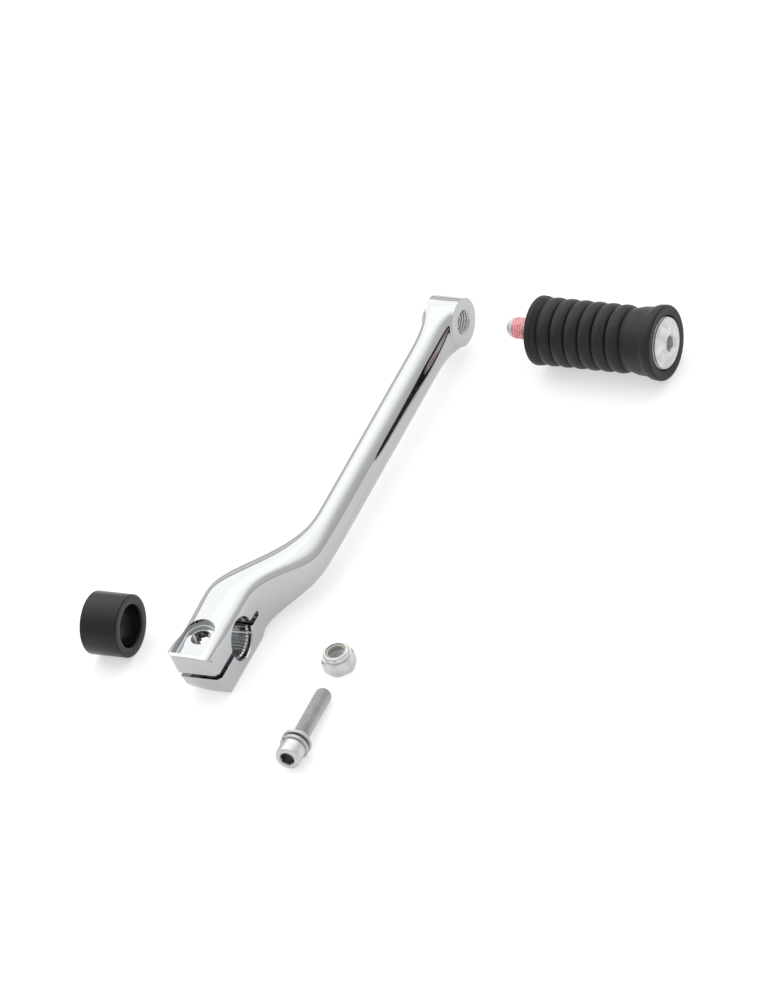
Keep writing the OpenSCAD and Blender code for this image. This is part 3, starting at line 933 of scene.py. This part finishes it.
class SHIFTLEVER_OT_clamp_screw(bpy.types.Operator):
    """Builds the socket head cap screw that closes the clamp."""

    bl_idname = "shiftlever.clamp_screw"
    bl_label = "Clamp screw"

    def execute(self, context):
        s = context.scene.hardware_settings
        r, h, head = s.screw_radius, s.head_height, s.head_radius
        end = h + s.screw_length
        begin = h + 6 * MM
        rod = helix_rod("clamp_thread", r, 0.5 * MM, s.screw_pitch, begin, end + MM)
        limit = [(0, begin), (r - 0.5 * MM, begin), (r, begin + 0.8 * MM),
                 (r + 0.05 * MM, end - 1.7 * MM), (r - 0.35 * MM, end - 0.8 * MM),
                 (r - 0.95 * MM, end - 0.2 * MM), (r - 1.4 * MM, end), (0, end)]
        combine(rod, lathe("clamp_envelope", limit, 64), "INTERSECT")
        outline = [(0, 0), (head - 0.75 * MM, 0), (head - 0.2 * MM, 0.25 * MM), (head, 0.8 * MM),
                   (head, h - 0.15 * MM), (head - 0.15 * MM, h), (r + 0.35 * MM, h),
                   (r, h + 0.35 * MM), (r, begin + 0.5 * MM),
                   (r - 0.45 * MM, begin + 1.4 * MM), (0, begin + 1.4 * MM)]
        combine(rod, lathe("clamp_head", outline, 96), "UNION")
        combine(rod, prism("key_cutter", hexagon(4.76 * MM), -MM, 3.2 * MM))
        mouth = lathe("key_mouth", [(0, -MM), (3.7 * MM, -MM), (2.3 * MM, 0.45 * MM), (0, 0.45 * MM)], 48)
        combine(rod, mouth)
        piece = tidy(place(rod, screw_frame()))
        piece.name = "socket_screw"
        # Radii of the thread's roots, which the material paints darker as painted shade.
        shaded_roots = (screw_frame().translation, SCREW_AXIS, r - 0.5 * MM, r - 0.02 * MM)
        material = zinc_plate("dull_zinc", rgba(s.zinc, 0.92)[:3], 0.36, 0.10, 900, 0.05 * MM, shaded_roots)
        finish_piece(piece, material, "clamp_screw", ["clamp_screw"], 30)
        return {"FINISHED"}


def ring_outline(inner, outer, thick, edge):
    """Outline of a flat ring with rounded outer edges."""
    rim = edge * 0.3
    return [(inner, 0.1 * MM), (inner + 0.1 * MM, 0), (outer - edge, 0), (outer - rim, rim), (outer, edge),
            (outer, thick - edge), (outer - rim, thick - rim), (outer - edge, thick),
            (inner + 0.1 * MM, thick), (inner, thick - 0.1 * MM)]


class SHIFTLEVER_OT_washers(bpy.types.Operator):
    """Builds the flat washer and the split lock washer."""

    bl_idname = "shiftlever.washers"
    bl_label = "Washers"

    def execute(self, context):
        s = context.scene.hardware_settings
        material = zinc_plate("washer_zinc", rgba(s.zinc, 0.78)[:3], 0.42, 0.16)
        base = screw_span("clamp_screw")[0]
        inner = s.screw_radius + 0.25 * MM
        low, high = screw_span("flat_washer")
        flat = lathe("plain_washer", ring_outline(inner, 5.62 * MM, high - low, 0.25 * MM), 128)
        place(flat, screw_frame() @ Matrix.Translation((0, 0, low - base)))
        finish_piece(flat, material, "flat_washer", ["flat_washer"])
        low, high = screw_span("lock_washer")
        lock = lathe("split_washer", ring_outline(inner, 5.45 * MM, high - low, 0.35 * MM), 128)
        bpy.ops.mesh.primitive_cube_add(size=1)
        split = bpy.context.object
        place(split, Matrix.Rotation(math.radians(150), 4, "Z") @ Matrix.Translation((5 * MM, 0, 0))
              @ Matrix.Rotation(math.radians(35), 4, "X") @ Matrix.Diagonal((7 * MM, 0.7 * MM, 8 * MM, 1)))
        combine(lock, split)
        place(lock, screw_frame() @ Matrix.Translation((0, 0, low - base)))
        finish_piece(lock, material, "lock_washer", ["lock_washer"])
        return {"FINISHED"}


class SHIFTLEVER_OT_locknut(bpy.types.Operator):
    """Builds the locknut and its nylon ring."""

    bl_idname = "shiftlever.locknut"
    bl_label = "Locknut"

    def execute(self, context):
        s = context.scene.hardware_settings
        high = NUT_HIGH.z - NUT_LOW.z
        flats = s.nut_flats
        corner = flats / 2 / math.cos(math.radians(30))
        shoulder = high - 2.2 * MM
        turn = Matrix.Rotation(math.radians(12), 4, "Z")
        stand = Matrix.Translation((NUT_MID.x, NUT_MID.y, NUT_LOW.z)) @ turn
        nut = prism("hex_collar_nut", hexagon(flats), -MM, shoulder + MM)
        clear = corner + 0.04 * MM
        shell = [(0, 0), (flats / 2 - 0.15 * MM, 0), (clear, 0.75 * MM), (clear, shoulder - 1.0 * MM),
                 (flats / 2 - 0.1 * MM, shoulder - 0.1 * MM), (0, shoulder + 0.1 * MM)]
        combine(nut, lathe("nut_shell", shell, 128), "INTERSECT")
        out = flats / 2 - 0.55 * MM
        seat = (NYLON_HIGH.x - NYLON_LOW.x) / 2
        floor = NYLON_LOW.z - NUT_LOW.z
        collar = [(0, shoulder - 2 * MM), (out, shoulder - 2 * MM), (out, high - 0.8 * MM),
                  (out - 0.12 * MM, high - 0.35 * MM), (out - 0.45 * MM, high - 0.05 * MM),
                  (out - 0.75 * MM, high), (seat - 0.3 * MM, high - 0.08 * MM),
                  (seat - 0.25 * MM, high - 0.25 * MM), (seat + 0.01 * MM, high - 0.4 * MM),
                  (seat + 0.01 * MM, floor), (0, floor)]
        combine(nut, lathe("nut_collar", collar, 128), "UNION")
        thread = helix_rod("nut_thread", s.screw_radius + 0.3 * MM, 0.45 * MM, s.screw_pitch, -MM, floor + MM)
        combine(nut, thread)
        place(nut, stand)
        material = zinc_plate("nut_zinc", rgba(s.zinc, 0.92)[:3], 0.28, 0.14)
        finish_piece(nut, material, "locknut", ["locknut"], 30)
        thick = NYLON_HIGH.z - NYLON_LOW.z
        hole = s.screw_radius - 0.25 * MM
        ring = [(hole, 0), (seat, 0), (seat, thick - 0.1 * MM), (seat - 0.2 * MM, thick),
                (hole + 0.5 * MM, thick), (hole + 0.12 * MM, thick - 0.15 * MM), (hole, thick - 0.5 * MM)]
        nylon = lathe("locking_ring", ring, 96)
        place(nylon, stand @ Matrix.Translation((0, 0, floor)))
        finish_piece(nylon, natural_nylon(s.nylon), "locknut", ["nylon_ring"])
        return {"FINISHED"}


class SHIFTLEVER_OT_spacer(bpy.types.Operator):
    """Builds the plastic spacer of the shift shaft."""

    bl_idname = "shiftlever.spacer"
    bl_label = "Spacer"

    def execute(self, context):
        s = context.scene.hardware_settings
        long = SPACER_HIGH.y - SPACER_LOW.y
        outer = (SPACER_HIGH.z - SPACER_LOW.z) / 2
        inner = 8.0 * MM
        lip, rim = 0.7 * MM, 0.5 * MM
        outline = [(inner, lip), *arc((inner + lip, lip), lip, 180, 270, 5),
                   *arc((outer - rim, rim), rim, -90, 0, 5), *arc((outer - rim, long - rim), rim, 0, 90, 5),
                   *arc((inner + lip, long - lip), lip, 90, 180, 5)]
        piece = along_y(lathe("shaft_spacer", outline, 160), SPACER_HIGH.y, SPACER_MID.x, SPACER_MID.z)
        finish_piece(piece, turned_plastic(s.spacer_black), "spacer", ["spacer"], 40)
        return {"FINISHED"}


# ---------------------------------------------------------------- the stage

VIEW_RIGHT = Vector((0.3985, -0.876, -0.2695)).normalized()
VIEW_UP = Vector((0.690, 0.0936, 0.717)).normalized()


def stage_plane(name, size, place_at, colour, glow):
    """A plain plane of the stage, lit a little from below as a light table is."""
    bpy.ops.mesh.primitive_plane_add(size=size)
    plane = bpy.context.object
    plane.name = name
    place(plane, place_at)
    sheet = Sheet(name)
    dust = sheet.noise(8, 3)
    sheet.surface(Base_Color=sheet.blend(dust, rgba(colour, 0.995), rgba(colour, 1.005)), Roughness=0.8,
                  Specular_IOR_Level=0.1, Emission_Color=(1.0, 1.0, 1.0, 1.0), Emission_Strength=glow)
    plane.data.materials.append(sheet.material)
    return plane


def area_light(name, place_at, target, size, power):
    data = bpy.data.lights.new(name, "AREA")
    data.shape = "RECTANGLE"
    data.size, data.size_y = size
    data.energy = power
    light = bpy.data.objects.new(name, data)
    bpy.context.scene.collection.objects.link(light)
    light.location = place_at
    light.rotation_euler = (Vector(target) - Vector(place_at)).to_track_quat("-Z", "Y").to_euler()
    return light


class SHIFTLEVER_OT_stage(bpy.types.Operator):
    """Sets up the pale bench, the soft lights and the camera."""

    bl_idname = "shiftlever.stage"
    bl_label = "Stage"

    def execute(self, context):
        s = context.scene.stage_settings
        scene = context.scene
        scene.view_settings.view_transform = "Standard"
        stage_plane("bench", 12, Matrix.Translation((0, 0, BENCH_Z)), s.bench, s.glow)
        world = bpy.data.worlds.new("studio")
        scene.world = world
        world.use_nodes = True
        self.studio(world, s)
        centre = Vector((0.08, -0.03, 0))
        area_light("overhead", centre + Vector((0.5, 0.45, 1.2)), centre, (0.9, 0.9), s.key)
        self.camera(scene, s)
        return {"FINISHED"}

    def studio(self, world, s):
        """Soft light high up on the inboard side, above a grey wall, a dark seam and a dark horizon."""
        sheet = Sheet("studio", world)
        way = sheet.node("ShaderNodeTexCoord").outputs["Generated"]

        def facing(direction):
            dot = sheet.vector_math("DOT_PRODUCT", way, Vector(direction).normalized())
            return Value(sheet, dot.outputs["Value"])

        lobe = facing((0.6, 0.47, 0.64)).ramp(0.25, 0.93)
        height = facing((0, 0, 1))
        inboard = facing((0.78, 0.62, 0)).ramp(0.45, 0.85)
        horizon = (1 - height.ramp(0.015, 0.13)) * inboard
        wall = (1 - height.ramp(0.37, 0.41)) * inboard
        seam = height.ramp(0.33, 0.36) * (1 - height.ramp(0.38, 0.42)) * inboard
        outboard = facing((0.3, -0.95, 0)).ramp(0.2, 0.9) * (1 - height.ramp(0.1, 0.55))
        strength = s.fill + lobe * 1.08
        for shade, depth in ((horizon, 0.75), (wall, 0.45), (seam, 0.5), (outboard, 0.12)):
            strength = strength * (1 - shade * depth)
        light = sheet.node("ShaderNodeBackground", Color=(1.0, 1.0, 1.0, 1.0), Strength=strength)
        sheet.tree.links.new(light.outputs[0], sheet.output.inputs["Surface"])

    def camera(self, scene, s):
        right = VIEW_RIGHT
        up = (VIEW_UP - right * VIEW_UP.dot(right)).normalized()
        back = right.cross(up)
        centre = Vector((0, -9.3 * MM, 0)) + right * s.view_right + up * s.view_up
        data = bpy.data.cameras.new("camera")
        data.lens = s.lens
        data.sensor_width = 36
        distance = s.lens / 36 * s.view_height
        data.clip_end = 50
        camera = bpy.data.objects.new("camera", data)
        scene.collection.objects.link(camera)
        camera.matrix_world = Matrix((
            (right.x, up.x, back.x, 0), (right.y, up.y, back.y, 0), (right.z, up.z, back.z, 0), (0, 0, 0, 1)))
        camera.location = centre + back * distance
        scene.camera = camera


class SHIFTLEVER_PT_panel(bpy.types.Panel):
    """Lists the pieces of the shift lever kit."""

    bl_idname = "SHIFTLEVER_PT_panel"
    bl_label = "Shift lever kit"
    bl_space_type = "VIEW_3D"
    bl_region_type = "UI"
    bl_category = "Shift Lever"

    def draw(self, context):
        for operator in OPERATORS:
            self.layout.operator(operator.bl_idname)


OPERATORS = (
    SHIFTLEVER_OT_lever, SHIFTLEVER_OT_spacer, SHIFTLEVER_OT_peg_bush, SHIFTLEVER_OT_peg_rubber,
    SHIFTLEVER_OT_peg_screw, SHIFTLEVER_OT_clamp_screw, SHIFTLEVER_OT_washers, SHIFTLEVER_OT_locknut,
    SHIFTLEVER_OT_stage,
)
GROUPS = {
    "lever_settings": LeverSettings,
    "peg_settings": PegSettings,
    "hardware_settings": HardwareSettings,
    "stage_settings": StageSettings,
}


def register():
    for group in GROUPS.values():
        bpy.utils.register_class(group)
    for name, group in GROUPS.items():
        setattr(bpy.types.Scene, name, PointerProperty(type=group))
    for operator in OPERATORS:
        bpy.utils.register_class(operator)
    bpy.utils.register_class(SHIFTLEVER_PT_panel)


def unregister():
    bpy.utils.unregister_class(SHIFTLEVER_PT_panel)
    for operator in reversed(OPERATORS):
        bpy.utils.unregister_class(operator)
    for name, group in reversed(GROUPS.items()):
        delattr(bpy.types.Scene, name)
        bpy.utils.unregister_class(group)


def main():
    register()
    bpy.ops.object.select_all(action="DESELECT")
    bpy.ops.shiftlever.lever()
    bpy.ops.shiftlever.spacer()
    bpy.ops.shiftlever.peg_bush()
    bpy.ops.shiftlever.peg_rubber()
    bpy.ops.shiftlever.peg_screw()
    bpy.ops.shiftlever.clamp_screw()
    bpy.ops.shiftlever.washers()
    bpy.ops.shiftlever.locknut()
    bpy.ops.shiftlever.stage()


if __name__ == "__main__":
    main()
